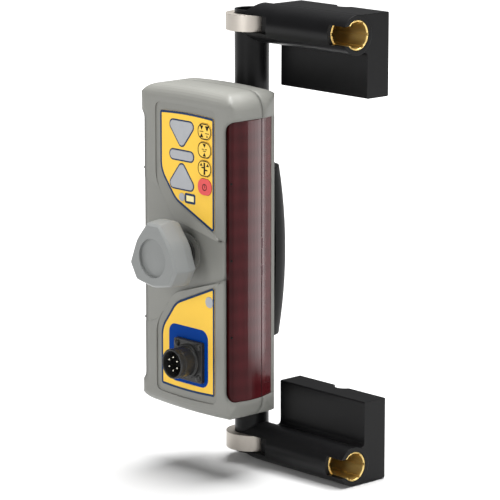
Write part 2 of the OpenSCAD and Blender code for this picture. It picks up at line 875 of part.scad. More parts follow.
// Main board on four posts off the rear wall
module main_board() {
  color("#2f6b3c") translate([0, 0, main_board_z]) {
    translate([0, main_board_y, 0]) board_plate(main_board_w, main_board_h);
    post_places(main_board_w / 2 - post_inset, main_board_h)
      translate([0, main_board_y - board_t / 2, 0])
        bar_y(post_d / 2, main_board_space + board_t / 2 - seat_gap);
    translate([-main_board_w / 4, main_board_y - board_t, -main_board_h / 4])
      along_front(2 * board_t) square([main_board_w / 2, main_board_h / 4]);
  }
}

// Indicator board between the photocell boards, on four posts that stand clear of the keys
module indicator_board() {
  color("#2f6b3c") {
    translate([0, 0, indicator_z]) {
      translate([0, indicator_y + board_t, 0]) board_plate(indicator_w, indicator_h);
      post_places(indicator_post_x, indicator_h)
        translate([0, inner_front_y + seat_gap, 0]) bar_y(post_d / 2, indicator_y - inner_front_y);
    }
    key_places(0, 3) translate([0, indicator_y - switch_t, 0]) bar_y(plunger_d, switch_t + board_t / 2);
  }
}

// Photocell board behind a window, its front edge against the front wall
module photocell_strip() {
  color("#5d4a1f") {
    translate([strip_x - strip_t, inner_front_y + seat_gap, window_low + strip_margin])
      cube([strip_t, strip_depth, window_h - 2 * strip_margin]);
    for (i = [0:cell_count - 1])
      translate([strip_x - strip_t / 2, inner_front_y + strip_depth / 2 - cell_w / 2,
          window_low + strip_margin + (2 * i + 1) * (window_h / 2 - strip_margin) / cell_count - cell_h / 2])
        cube([cell_t + strip_t / 2, cell_w, cell_h]);
  }
}

// Four cells side by side in one sleeve, laid on the rear wall
module battery_pack() {
  color("#2d5c8a") translate([0, inner_rear_y - seat_gap - cell_d / 2 - shrink_t, pack_z - cell_length / 2])
    for (i = [0:pack_rows - 1])
      translate([(i - (pack_rows - 1) / 2) * cell_d, 0, 0]) cylinder(d = cell_d + shrink_t, h = cell_length);
}

// Knob and its stud
module knob_bush() {
  color("#1f1f1f") translate([0, front_y, 0]) difference() {
    union() {
      translate([0, -bush_flange_t, 0]) bar_y(bush_flange_d / 2, bush_flange_t);
      translate([0, -over, 0]) bar_y(bush_sleeve_d / 2, wall + over);
    }
    translate([0, -wall, 0]) bar_y(stud_r + fit, 3 * wall);
  }
}

// Triangle with its corners cut off and its long sides bowed out, drawn in by d
function knob_corners(d) =
  let (r = knob_w / 2 - d, h = knob_short / 2, bow = knob_bow - d)
  [for (i = [0:2]) let (a = 90 + 120 * i, b = a + 60)
    each [[r * cos(a) + h * sin(a), r * sin(a) - h * cos(a), knob_edge],
      [r * cos(a) - h * sin(a), r * sin(a) + h * cos(a), knob_edge],
      [bow * cos(b), bow * sin(b), knob_bow_r]]];

module knob_slice(y, d) {
  translate([0, y + slice_t / 2, 0]) along_front(slice_t) shape(knob_corners(d));
}

module clamp_knob() {
  color("#8c8f91") difference() {
    union() {
      hull() {
        knob_slice(knob_front_y, knob_edge + knob_flare);
        knob_slice(knob_front_y + knob_edge, knob_flare);
        knob_slice(knob_back_y - knob_edge, 0);
        knob_slice(knob_back_y, knob_edge);
      }
      translate([0, knob_back_y - over, 0]) bar_y(hub_d / 2, knob_gap + over - bush_flange_t - 2 * free_gap);
    }
    translate([0, knob_front_y - over, 0]) bar_y(knob_dish_d / 2, knob_dish_depth + over);
    translate([0, knob_front_y + 2 * knob_dish_depth, 0]) bar_y(stud_r + fit, front_reach);
  }
}

module knob_stud() {
  color("#a9a9a6") difference() {
    translate([0, knob_front_y + 2 * knob_dish_depth, 0])
      bar_y(stud_r, stud_end_y - knob_front_y - 2 * knob_dish_depth);
    translate([0, circlip_y, 0]) stud_groove();
  }
}

module stud_groove() {
  difference() {
    bar_y(stud_d, circlip_t);
    translate([0, -over, 0]) bar_y(groove_r, circlip_t + 2 * over);
  }
}

module stud_circlip() {
  color("#6d6d6b") translate([0, circlip_y + fit, 0]) difference() {
    bar_y(circlip_d / 2, circlip_t - 2 * fit);
    translate([0, -over, 0]) bar_y(groove_r + fit, circlip_t + 2 * over);
    translate([-groove_r / 2, -over, -circlip_d]) cube([groove_r, circlip_t + 2 * over, circlip_d]);
  }
}

// Seat on the rear wall and jaw behind the mast, both lined with a pad
module seat_block(r) {
  difference() {
    linear_extrude(seat_h, center = true) polygon([[-seat_w / 2, seat_front], [seat_w / 2, seat_front],
      [seat_w / 2, seat_back - seat_chamfer], [seat_w / 2 - seat_chamfer, seat_back],
      [seat_chamfer - seat_w / 2, seat_back], [-seat_w / 2, seat_back - seat_chamfer]]);
    cylinder(r = r, h = 2 * seat_h, center = true);
  }
}

module clamp_seat() {
  color("#262626") difference() {
    seat_block(pad_r);
    both_sides() translate([rod_x, -front_reach, 0]) bar_y(rod_r + seat_gap, 2 * front_reach);
  }
}

module seat_pad() {
  color("#101010") intersection() {
    difference() {
      cylinder(r = pad_r - fit, h = seat_h, center = true);
      cylinder(r = mast_r + fit, h = 2 * seat_h, center = true);
    }
    translate([-body_w, seat_back - body_w, -seat_h]) cube([2 * body_w, body_w, 2 * seat_h]);
  }
}

// Section of the jaw: a bow that is thickest at its middle
module jaw_profile() {
  polygon(concat([[pad_r, jaw_low + jaw_h], [pad_r, jaw_low]],
    [for (i = [0:jaw_bow_steps])
      let (s = 2 * i / jaw_bow_steps - 1)
      [jaw_end_r + (jaw_mid_r - jaw_end_r) * (1 - s * s), jaw_low + jaw_h * i / jaw_bow_steps]]));
}

module jaw_side() {
  translate([-body_w, jaw_gap, -jaw_h]) cube([2 * body_w, body_w, 2 * jaw_h]);
}

module clamp_jaw() {
  color("#232323") difference() {
    intersection() {
      rotate_extrude() jaw_profile();
      jaw_side();
    }
    both_sides() translate([rod_x, 0, 0]) bar_y(rod_r + fit, rod_end_y);
  }
}

module jaw_pad() {
  color("#101010") intersection() {
    difference() {
      translate([0, 0, jaw_low]) cylinder(r = pad_r - fit, h = jaw_h);
      cylinder(r = mast_r + fit, h = 2 * jaw_h, center = true);
    }
    translate([0, 2 * jaw_gap, 0]) jaw_side();
  }
}

module draw_rods() {
  color("#a9a9a6") both_sides()
    translate([rod_x, yoke_y, 0]) bar_y(rod_r, rod_end_y - yoke_y - seat_gap);
}

module clamp_yoke() {
  color("#77777a") difference() {
    translate([0, yoke_y + yoke_t, 0]) along_front(yoke_t)
      shape(bar_corners(rod_pitch + 2 * yoke_end, yoke_h, yoke_end, 0));
    translate([0, -2 * front_reach, 0]) bar_y(stud_r + fit, 4 * front_reach);
    both_sides() translate([rod_x, -2 * front_reach, 0]) bar_y(rod_r + fit, 4 * front_reach);
  }
}

mast();
upper() arm();  // upper_arm
upper() plate();  // upper_plate
upper() socket_bush();  // upper_socket_bush
upper() magnets();  // upper_magnets
upper() clamp_ring();  // upper_clamp_ring
upper() clamp_nut();  // upper_clamp_nut
lower() arm();  // lower_arm
lower() plate();  // lower_plate
lower() socket_bush();  // lower_socket_bush
lower() magnets();  // lower_magnets
lower() clamp_ring();  // lower_clamp_ring
lower() clamp_nut();  // lower_clamp_nut
receiver() front_housing();
receiver() rear_housing();
receiver() housing_gasket();
receiver() housing_screws();
receiver() color("#34181e") pane() front_opening(0);  // window_front_right
receiver() color("#34181e") pane() rear_opening(0);  // window_rear_right
receiver() color("#34181e") mirror([1, 0, 0]) pane() front_opening(0);  // window_front_left
receiver() color("#34181e") mirror([1, 0, 0]) pane() rear_opening(0);  // window_rear_left
receiver() keypad_label();
receiver() connector_label();
receiver() lens() down_arrow_shape(0);  // down_arrow_lens
receiver() lens() level_bar_shape(0);  // level_bar_lens
receiver() lens() up_arrow_shape(0);  // up_arrow_lens
receiver() lens() battery_shape(0);  // battery_lens
receiver() lens() status_shape(0);  // status_lens
receiver() key(0, "#f3cb34");  // deadband_key
receiver() key(1, "#f3cb34");  // position_key
receiver() key(2, "#f3cb34");  // mode_key
receiver() key(3, "#e25046");  // power_key
receiver() connector_shell();
receiver() connector_insert();
receiver() connector_pins();
receiver() connector_screws();
receiver() connector_gasket();
receiver() main_board();
receiver() indicator_board();
receiver() photocell_strip();  // photocell_strip_right
receiver() mirror([1, 0, 0]) photocell_strip();  // photocell_strip_left
receiver() battery_pack();
receiver() knob_bush();
receiver() clamp_knob();
receiver() knob_stud();
receiver() stud_circlip();
receiver() clamp_seat();
receiver() seat_pad();
receiver() clamp_jaw();
receiver() jaw_pad();
receiver() draw_rods();
receiver() clamp_yoke();
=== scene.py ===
# %% [markdown]
# # A laser receiver on its mast
#
# The receiver is a grey moulded case with two dark red windows, a yellow keypad label,
# a round cable connector and a knob that clamps it on a black mast. Two black brackets with
# brass lined sockets hold the mast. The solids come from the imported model: this lesson gives
# them their finishes, adds the printing, the screws and the other small pieces, and sets up
# the studio. Drawn sizes are in millimetres, and Blender's own lengths are in metres.

import math

import bmesh
import bpy
from mathutils import Matrix, Vector


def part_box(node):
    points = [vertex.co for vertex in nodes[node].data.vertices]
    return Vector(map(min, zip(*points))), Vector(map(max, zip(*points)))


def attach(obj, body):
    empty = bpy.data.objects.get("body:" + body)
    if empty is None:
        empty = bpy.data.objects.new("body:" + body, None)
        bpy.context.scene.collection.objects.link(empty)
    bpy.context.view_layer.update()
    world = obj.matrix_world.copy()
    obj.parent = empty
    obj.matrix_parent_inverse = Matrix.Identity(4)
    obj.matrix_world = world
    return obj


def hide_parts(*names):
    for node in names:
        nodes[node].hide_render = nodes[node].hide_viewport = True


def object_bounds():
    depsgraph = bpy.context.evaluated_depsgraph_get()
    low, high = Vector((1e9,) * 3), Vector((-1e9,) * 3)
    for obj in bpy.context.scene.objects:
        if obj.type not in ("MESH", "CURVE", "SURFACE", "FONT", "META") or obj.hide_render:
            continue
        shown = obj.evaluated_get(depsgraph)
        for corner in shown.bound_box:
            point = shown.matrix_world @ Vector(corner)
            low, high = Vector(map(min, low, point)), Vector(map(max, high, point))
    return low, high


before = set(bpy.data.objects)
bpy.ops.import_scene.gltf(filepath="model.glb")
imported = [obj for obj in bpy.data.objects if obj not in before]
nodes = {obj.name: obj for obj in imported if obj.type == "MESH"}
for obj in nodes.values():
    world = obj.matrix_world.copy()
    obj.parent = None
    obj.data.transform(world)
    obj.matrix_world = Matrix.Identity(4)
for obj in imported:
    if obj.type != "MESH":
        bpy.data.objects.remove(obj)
cad_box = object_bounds()
MM = 0.001


def added(name, data):
    """A new object with that data, linked to the scene."""
    obj = bpy.data.objects.new(name, data)
    bpy.context.scene.collection.objects.link(obj)
    return obj


# %% [markdown]
# ## Camera
#
# A camera can be placed by eye or worked out. Here the photograph was measured against the
# mast's diameter, so the camera's turn, tilt and distance are known numbers. A long lens keeps
# the upright edges nearly parallel, as they are in the photograph.

# %% Camera at the photograph's viewing angle
PHOTO_PX = 500
FOCAL_PX = 2972
SENSOR_W = 36
VIEW_END = 20
CAMERA_TURN = math.radians(47.24)
CAMERA_TILT = math.radians(11.93)
CAMERA_DISTANCE = 2.195
CAMERA_SLIDE = Vector((-0.0014, -0.0134))

back = Vector((math.sin(CAMERA_TURN) * math.cos(CAMERA_TILT),
               -math.cos(CAMERA_TURN) * math.cos(CAMERA_TILT),
               math.sin(CAMERA_TILT)))
right = Vector((math.cos(CAMERA_TURN), math.sin(CAMERA_TURN), 0))
up = back.cross(right)
stand = back * CAMERA_DISTANCE + right * CAMERA_SLIDE.x + up * CAMERA_SLIDE.y

lens = bpy.data.cameras.new("photo_camera")
lens.sensor_width = SENSOR_W
lens.lens = SENSOR_W * FOCAL_PX / PHOTO_PX
lens.clip_end = VIEW_END
camera = added("photo_camera", lens)
axes = Matrix((right, up, back)).transposed().to_4x4()
camera.matrix_world = Matrix.Translation(stand) @ axes
bpy.context.scene.camera = camera
print("camera lens %.1f mm at %.2f m" % (lens.lens, stand.length))

# %% [markdown]
# ## Shader maths
#
# Node trees are hard to read when every link is a line of code. A small class stands for one
# socket, and its operators add Math nodes, so a pattern reads as a sum. The reflected forms,
# such as `__rsub__`, let a plain number stand on the left.


# %% Sockets that can be added and multiplied
class Wire:
    """One output socket of a finish's node tree."""

    def __init__(self, finish, socket):
        self.finish = finish
        self.socket = socket

    def math(self, operation, a, b=0.0):
        return self.finish.node("ShaderNodeMath", {"operation": operation}, {0: a, 1: b})

    def __add__(self, other):
        return self.math("ADD", self, other)

    def __radd__(self, other):
        return self.math("ADD", other, self)

    def __sub__(self, other):
        return self.math("SUBTRACT", self, other)

    def __rsub__(self, other):
        return self.math("SUBTRACT", other, self)

    def __mul__(self, other):
        return self.math("MULTIPLY", self, other)

    def __rmul__(self, other):
        return self.math("MULTIPLY", other, self)

    def __abs__(self):
        return self.math("ABSOLUTE", self)

    def sine(self):
        return self.math("SINE", self)

    def climb(self, low, high):
        """0 below low, 1 above high and a straight climb between."""
        return self.finish.node("ShaderNodeMapRange", {"clamp": True},
                                {"Value": self, "From Min": low, "From Max": high})


print("sockets can be added and multiplied")

# %% [markdown]
# ## Finishes
#
# Every finish is one Principled shader. What is the same all over a surface is set on the
# shader's own socket, and what changes comes from a few patterns: noise in the object's
# coordinates, a tint between two colours, and a bump. One method makes every node from its
# type, its settings and its sockets, so the patterns below it stay short.


# %% Finishes whose nodes are made by one method
class Finish:
    """A material whose constants are set on the shader's sockets."""

    def __init__(self, name, **constants):
        self.material = bpy.data.materials.new(name)
        self.material.use_nodes = True
        self.tree = self.material.node_tree
        self.shader = self.tree.nodes["Principled BSDF"]
        self.give(**constants)

    def node(self, kind, settings=None, sockets=None, output=0):
        made = self.tree.nodes.new(kind)
        for name, value in (settings or {}).items():
            setattr(made, name, value)
        for key, value in (sockets or {}).items():
            self.feed(made.inputs[key], value)
        return Wire(self, made.outputs[output])

    def feed(self, socket, value):
        if isinstance(value, Wire):
            self.tree.links.new(value.socket, socket)
        else:
            socket.default_value = value

    def give(self, **sockets):
        """Values or wires for the shader's sockets."""
        for name, value in sockets.items():
            self.feed(self.shader.inputs[name.replace("_", " ")], value)

    def place(self, scale=(1, 1, 1)):
        """Object coordinates in metres, stretched by scale."""
        where = self.node("ShaderNodeTexCoord", output="Object")
        return self.node("ShaderNodeMapping", sockets={"Vector": where, "Scale": scale})

    def noise(self, size, detail=3.0, scale=(1, 1, 1)):
        """Noise with features of about size metres."""
        return self.node("ShaderNodeTexNoise", sockets={
            "Vector": self.place(scale), "Scale": 1 / size, "Detail": detail})

    def along(self, axis):
        """The distance along one axis of the object, in metres."""
        return self.node("ShaderNodeSeparateXYZ", sockets={"Vector": self.place()}, output=axis)

    def tint(self, amount, low, high):
        """A colour between low and high."""
        return self.node("ShaderNodeMix", {"data_type": "RGBA"},
                         {"Factor": amount, "A": (*low, 1), "B": (*high, 1)}, output=2)

    def emboss(self, height, depth, edge, samples=6):
        """A bump of that depth in metres, over edges rounded by a radius of edge."""
        rounded = self.node("ShaderNodeBevel", {"samples": samples}, {"Radius": edge})
        return self.node("ShaderNodeBump", sockets={
            "Height": height, "Distance": depth, "Strength": 1.0, "Normal": rounded})


def linear(r, g, b):
    """A colour picked on a screen, 0 to 255, as the linear colour that shaders use."""
    return tuple(((v / 255 + 0.055) / 1.055) ** 2.4 if v > 10 else v / 255 / 12.92
                 for v in (r, g, b))


def shade(colour, factor):
    """The colour made darker or lighter."""
    return tuple(min(1, v * factor) for v in colour)


print("a screen grey of 128 is %.3f in the shader" % linear(128, 128, 128)[0])

# %% [markdown]
# ## Moulded plastic
#
# The case and the knob are moulded in grey plastic with a fine eroded grain, and the clamp's
# jaw and seat in black. The grain is a noise of a third of a millimetre in the bump, and a
# slower noise moves the colour and the gloss a little, as handling does. The Bevel node rounds
# the mould's edges in the shading: little on the front, where the panels' steps are crisp, and
# much on the corners beside the windows.

# %% Mouldings
# Distances from the middle at which the soft corners beside the windows begin and are full
SOFT_FROM, SOFT_FULL = 0.0352, 0.040


def moulding(name, colour, roughness, ior, edge=0.0006, corner=0.0):
    """Corner is the softer rounding beside the windows, where the piece has them."""
    finish = Finish(name, IOR=ior)
    if corner:
        edge = edge + corner * abs(finish.along("X")).climb(SOFT_FROM, SOFT_FULL)
    cloud = finish.noise(size=0.02)
    grain = finish.noise(size=0.00035, detail=2.0)
    mottle = 0.65 * cloud + 0.35 * grain
    finish.give(Base_Color=finish.tint(mottle, shade(colour, 0.93), shade(colour, 1.05)),
                Roughness=roughness + 0.12 * (cloud - 0.5),
                Normal=finish.emboss(grain, depth=0.00003, edge=edge))
    return finish.material


case_grey = moulding("case_grey", linear(132, 132, 127), roughness=0.36, ior=1.34, edge=0.0004,
                     corner=0.005)
knob_grey = moulding("knob_grey", linear(132, 134, 133), roughness=0.36, ior=1.32, edge=0.0005)
black_nylon = moulding("black_nylon", linear(14, 14, 14), roughness=0.5, ior=1.2)
bush_nylon = moulding("bush_nylon", linear(64, 64, 62), roughness=0.5, ior=1.3)
print("mouldings:", case_grey.name, knob_grey.name, black_nylon.name, bush_nylon.name)

# %% [markdown]
# ## Metals
#
# The brackets and the mast are anodised black: a satin coat that is never quite even. The ring
# is brushed steel, its lines running round the mast, so its noise is stretched along the ring
# and tight in height. The brass bush was turned, and its tool marks run round the X axis.


# %% Anodised, brushed and turned metals
def anodised(name, colour, roughness, ior=1.25):
    finish = Finish(name, IOR=ior)
    cloud = finish.noise(size=0.012)
    speck = finish.noise(size=0.0003, detail=2.0)
    finish.give(Base_Color=finish.tint(cloud, shade(colour, 0.8), shade(colour, 1.2)),
                Roughness=roughness + 0.1 * (speck - 0.5),
                Normal=finish.emboss(speck, depth=0.000012, edge=0.0005))
    return finish.material


def worked_metal(name, colour, roughness, lines, edge=0.0003):
    """Metal with fine lines: lines stretches the noise on each axis."""
    finish = Finish(name, Metallic=1.0)
    stroke = finish.noise(size=0.01, detail=4.0, scale=lines)
    cloud = finish.noise(size=0.006)
    finish.give(Base_Color=finish.tint(0.6 * stroke + 0.4 * cloud, shade(colour, 0.82), colour),
                Roughness=roughness - 0.08 + 0.18 * stroke,
                Normal=finish.emboss(stroke, depth=0.00002, edge=edge))
    return finish.material


ROUND_MAST, ROUND_PIN, ROUND_SOCKET, NO_LINES = (2, 2, 30), (4, 20, 4), (30, 2, 2), (6, 6, 6)
black_anodised = anodised("black_anodised", linear(18, 18, 19), roughness=0.32)
connector_black = anodised("connector_black", linear(48, 48, 48), roughness=0.28, ior=1.34)
ring_steel = worked_metal("ring_steel", linear(202, 195, 186), 0.42, ROUND_MAST)
zinc_steel = worked_metal("zinc_steel", linear(178, 178, 174), 0.32, ROUND_PIN)
turned_brass = worked_metal("turned_brass", linear(240, 210, 136), 0.42, ROUND_SOCKET)
magnet_nickel = worked_metal("magnet_nickel", linear(120, 122, 126), 0.4, NO_LINES)
pin_plate = worked_metal("pin_plate", linear(232, 228, 214), 0.2, NO_LINES, edge=0.0002)
print("metals: 2 anodised, 5 bare")

# %% [markdown]
# ## Windows
#
# The windows are dark red and glossy, and hardly any light comes back through them. A clear pane
# over dark boards would need many samples to look clean, so the pane is solid in colour, and the
# photocells behind it show as a slow change of the red along its height.

# %% Red panes
CELL_PITCH = 0.0123

pane = Finish("red_window", IOR=1.2)
streak = pane.noise(size=0.01, scale=(1, 1, 0.12))
cells = (pane.along("Z") * (2 * math.pi / CELL_PITCH)).sine().climb(-1.0, 1.0)
pane.give(Base_Color=pane.tint(0.8 * streak + 0.2 * cells, linear(35, 7, 9), linear(64, 17, 21)),
          Roughness=0.12 + 0.08 * streak,
          Normal=pane.emboss(streak, depth=0.000001, edge=0.0012, samples=16))
red_window = pane.material
print("window has", len(pane.tree.nodes), "nodes")

# %% [markdown]
# ## Lenses and rubber
#
# The lenses over the indicator lamps are frosted and dull, and so are the small clips on the
# panes. The gaskets and the clamp's pads are black rubber. Both get a fine speck in the bump,
# coarser and rougher on the rubber.


# %% Frosted and soft finishes
def frosted(name, colour, ior=1.4):
    finish = Finish(name, IOR=ior)
    cloud = finish.noise(size=0.004)
    speck = finish.noise(size=0.0004)
    finish.give(Base_Color=finish.tint(cloud, shade(colour, 0.9), colour),
                Roughness=0.32 + 0.15 * speck,
                Normal=finish.emboss(speck, depth=0.00002, edge=0.0003))
    return finish.material


def rubber(name, colour):
    finish = Finish(name, IOR=1.5)
    speck = finish.noise(size=0.0006)
    finish.give(Base_Color=finish.tint(speck, shade(colour, 0.7), colour),
                Roughness=0.62 + 0.15 * speck,
                Normal=finish.emboss(speck, depth=0.00005, edge=0.0003))
    return finish.material


lens_frost = frosted("lens_frost", linear(168, 170, 174))
clip_clear = frosted("clip_clear", linear(128, 104, 107), ior=1.3)
black_rubber = rubber("black_rubber", linear(38, 38, 38))
print("lens, clip and rubber finishes ready")

# %% [markdown]
# ## Printed film
#
# Labels and keys are printed polycarbonate: an even colour under a satin film with a fine
# pebble. The boards and the battery sleeve inside the case get plain prints of the same kind.


# %% Printed and inner finishes
def printed(name, colour, ior=1.18):
    finish = Finish(name, IOR=ior)
    cloud = finish.noise(size=0.015)
    pebble = finish.noise(size=0.0005)
    finish.give(Base_Color=finish.tint(cloud, shade(colour, 0.95), colour),
                Roughness=0.26 + 0.12 * pebble,
                Normal=finish.emboss(pebble, depth=0.00001, edge=0.0002))
    return finish.material


label_yellow = printed("label_yellow", linear(244, 199, 78))
pale_yellow = printed("pale_yellow", linear(244, 232, 170))
key_yellow = printed("key_yellow", linear(246, 204, 90))
key_red = printed("key_red", linear(222, 90, 90))
ink_navy = printed("ink_navy", linear(30, 56, 92))
ink_blue = printed("ink_blue", linear(0, 58, 140), ior=1.1)
ink_black = printed("ink_black", linear(22, 18, 12))
board_green = printed("board_green", linear(40, 84, 52))
sleeve_blue = printed("sleeve_blue", linear(40, 80, 130))
print("materials so far:", len(bpy.data.materials))

# %% [markdown]
# ## Finishes on the CAD nodes
#
# The solids keep their shapes, so each node only needs its finish in its material slot. The
# slot is linked to the object and not to its mesh, so the mesh that came in stays as it is.

# %% One finish for each node
FINISHES = {
    case_grey: ["front_housing", "rear_housing"],
    knob_grey: ["clamp_knob"],
    black_nylon: ["clamp_seat", "clamp_jaw", "connector_insert"],
    bush_nylon: ["knob_bush"],
    black_anodised: ["mast", "upper_arm", "upper_plate", "lower_arm", "lower_plate"],
    connector_black: ["connector_shell", "connector_screws"],
    ring_steel: ["upper_clamp_ring", "lower_clamp_ring"],
    zinc_steel: ["upper_clamp_nut", "lower_clamp_nut", "housing_screws", "knob_stud",
                 "stud_circlip", "draw_rods", "clamp_yoke"],
    turned_brass: ["upper_socket_bush", "lower_socket_bush"],
    magnet_nickel: ["upper_magnets", "lower_magnets"],
    pin_plate: ["connector_pins"],
    red_window: ["window_front_right", "window_rear_right", "window_front_left",
                 "window_rear_left"],
    lens_frost: ["down_arrow_lens", "level_bar_lens", "up_arrow_lens", "battery_lens",
                 "status_lens"],
    black_rubber: ["housing_gasket", "connector_gasket", "seat_pad", "jaw_pad"],
    label_yellow: ["keypad_label", "connector_label"],
    key_yellow: ["deadband_key", "position_key", "mode_key"],
    key_red: ["power_key"],
    board_green: ["main_board", "indicator_board", "photocell_strip_right",
                  "photocell_strip_left"],
    sleeve_blue: ["battery_pack"],
}


def dress(obj, material):
    """Puts the finish in the object's own material slot."""
    if not obj.material_slots:
        obj.data.materials.append(material)
    for slot in obj.material_slots:
        slot.link = "OBJECT"
        slot.material = material


for material, names in FINISHES.items():
    for name in names:
        dress(nodes[name], material)
bare = set(nodes) - {name for names in FINISHES.values() for name in names}
print("nodes without a finish:", sorted(bare))

# %% [markdown]
# ## Rounded outlines
#
# The printing follows the labels' outlines, so the same rounded corners are worked out here.
# An outline is a list of corners, each with its place in millimetres on the front and its
# radius, and it can be drawn in by a distance to give the inner edge of a printed border.

# %% Outlines from corners
CORNER_STEPS = 10
FIT_SHARE = 0.78
LEAST_R, SHARP_R = 0.4, 0.01


def corner_arc(a, b, c, radius):
    """Points that round the corner b between the edges to a and c."""
    u, v = (a - b).normalized(), (c - b).normalized()
    half = u.angle(v) / 2
    reach = FIT_SHARE * min((a - b).length, (c - b).length)
    radius = min(radius, reach * math.tan(half))
    centre = b + (u + v).normalized() * radius / math.sin(half)
    start = b + u * radius / math.tan(half) - centre
    end = b + v * radius / math.tan(half) - centre
    turn = math.atan2(start.x * end.y - start.y * end.x, start.dot(end))
    return [centre + Matrix.Rotation(turn * i / CORNER_STEPS, 2) @ start
            for i in range(CORNER_STEPS + 1)]


def outline(corners):
    points = []
    for i, (x, y, radius) in enumerate(corners):
        before, after = corners[i - 1], corners[(i + 1) % len(corners)]
        points += corner_arc(Vector(before[:2]), Vector((x, y)), Vector(after[:2]),
                             max(radius, SHARP_R))
    return points


def inset(corners, distance):
    """The same corners with every edge moved in."""
    moved = []
    for i, (x, y, radius) in enumerate(corners):
        b = Vector((x, y))
        u = (Vector(corners[i - 1][:2]) - b).normalized()
        v = (Vector(corners[(i + 1) % len(corners)][:2]) - b).normalized()
        side = 1 if v.x * u.y - v.y * u.x > 0 else -1
        p = b + side * (u + v).normalized() * distance / math.sin(u.angle(v) / 2)
        moved.append((p.x, p.y, max(radius - side * distance, LEAST_R)))
    return moved


def rectangle(x, z, width, height, radius):
    w, h = width / 2, height / 2
    return [(x - w, z - h, radius), (x + w, z - h, radius),
            (x + w, z + h, radius), (x - w, z + h, radius)]


print("a rounded square has", len(outline(rectangle(0, 0, 10, 10, 2))), "points")

# %% [markdown]
# ## Outlines of the labels and lenses
#
# The two labels are drawn as the solids are: straight at the right, bowed at the outer end and
# swept in toward the knob. Only the upper one's head lies 2.4 mm higher, where the photograph has
# it. The three lenses stand in a column on the upper label, an arrow down, a bar and an arrow up.

# %% Labels and lenses
LABEL_LEFT, LABEL_RIGHT, LABEL_SWEEP = -27, 31, -11
LABEL_TOP, LABEL_CROWN = 101.4, 103.1
LABEL_FOOT, LABEL_DIP = -102.5, -104.2
CRISP_R, SWEEP_R, BOW_R = 2, 20, 500
KEYPAD_LABEL = [
    (LABEL_SWEEP, 37.4, SWEEP_R), (LABEL_RIGHT, 18.6, CRISP_R), (LABEL_RIGHT, LABEL_TOP, CRISP_R),
    (0, LABEL_CROWN, BOW_R), (LABEL_LEFT, LABEL_TOP, CRISP_R), (LABEL_LEFT, 57.4, SWEEP_R)]
CONNECTOR_LABEL = [
    (LABEL_LEFT, LABEL_FOOT, CRISP_R), (0, LABEL_DIP, BOW_R), (LABEL_RIGHT, LABEL_FOOT, CRISP_R),
    (LABEL_RIGHT, -21.2, CRISP_R), (LABEL_SWEEP, -38.5, SWEEP_R), (LABEL_LEFT, -60, SWEEP_R)]
LENS_X, LENS_W, LENS_R, ARROW_H, BAR_H = -3.6, 25, 3.2, 16.4, 6.4
DOWN_Z, BAR_Z, UP_Z = 87.5, 70.8, 54.6


def arrow(z, flip):
    """The corners of an arrow lens that points down, or up where flip is -1."""
    w, h = LENS_W / 2 + LENS_R, ARROW_H / 2
    return [(LENS_X - flip * w, z + flip * h, LENS_R),
            (LENS_X, z - flip * (h + LENS_R), LENS_R),
            (LENS_X + flip * w, z + flip * h, LENS_R)]


LENSES = [arrow(DOWN_Z, 1), arrow(UP_Z, -1), rectangle(LENS_X, BAR_Z, LENS_W, BAR_H, LENS_R)]
print("keypad label has", len(outline(KEYPAD_LABEL)), "points, lenses:", len(LENSES))

# %% [markdown]
# ## Flat printed pieces
#
# Ink could be painted by the label's shader, but a border that follows a free outline is easier
# to draw as geometry. Each print is a flat solid a few hundredths of a millimetre thick on the
# face that carries it: a plate from one outline, or a frame between two outlines.

# %% Solids from outlines
RECEIVER_Z = -6
INK, SUNK = 0.04, 0.02


def skin(mesh, near, far):
    """Faces between two closed rings of the same number of points."""
    for i in range(len(near)):
        j = (i + 1) % len(near)
        mesh.faces.new((near[i], near[j], far[j], far[i]))


def solid(name, mesh, material, split=True):
    """The drawn mesh as an object, its many sided faces split in triangles or left whole."""
    bmesh.ops.recalc_face_normals(mesh, faces=mesh.faces)
    if split:
        bmesh.ops.triangulate(mesh, faces=[f for f in mesh.faces if len(f.verts) > 4])
    data = bpy.data.meshes.new(name)
    mesh.to_mesh(data)
    mesh.free()
    obj = added(name, data)
    dress(obj, material)
    return obj


def printed_piece(name, shapes, carrier, body, material, sunk=SUNK, proud=INK):
    """One solid from (outer, inner or None) outlines, on the front of the node that carries it."""
    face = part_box(carrier)[0].y / MM
    mesh = bmesh.new()
    for outer, inner in shapes:
        layers = [[[mesh.verts.new((p.x * MM, depth * MM, (p.y + RECEIVER_Z) * MM)) for p in ring]
                   for ring in (outer, inner) if ring]
                  for depth in (face + sunk, face - proud)]
        for near, far in zip(*layers):
            skin(mesh, near, far)
        for layer in layers:
            if inner:
                skin(mesh, *layer)
            else:
                mesh.faces.new(layer[0])
    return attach(solid(name, mesh, material), body)


def border(corners, width, outside=0.0):
    """The frame of that width inside the outline, or standing out from it."""
    return outline(inset(corners, -outside)), outline(inset(corners, width - outside))


print("ink is %.2f mm thick" % INK)

# %% [markdown]
# ## Prints on the two labels
#
# Both labels have a navy border, and the lenses a navy line round them. A film carries the upper
# label from the solid's top edge up to its bowed head. The sign of a cell stands beside the
# battery lamp, and a blue field lies round the connector.

# %% Label prints
HEAD_FOOT, HEAD_R, PLATE_T, FILM = 97.4, 0.1, 0.5, 0.02
head_film = [(LABEL_LEFT, HEAD_FOOT, HEAD_R), (LABEL_RIGHT, HEAD_FOOT, HEAD_R),
             *KEYPAD_LABEL[2:5]]
printed_piece("keypad_label_head", [(outline(head_film), None)], "keypad_label", "receiver",
              label_yellow, PLATE_T, FILM)

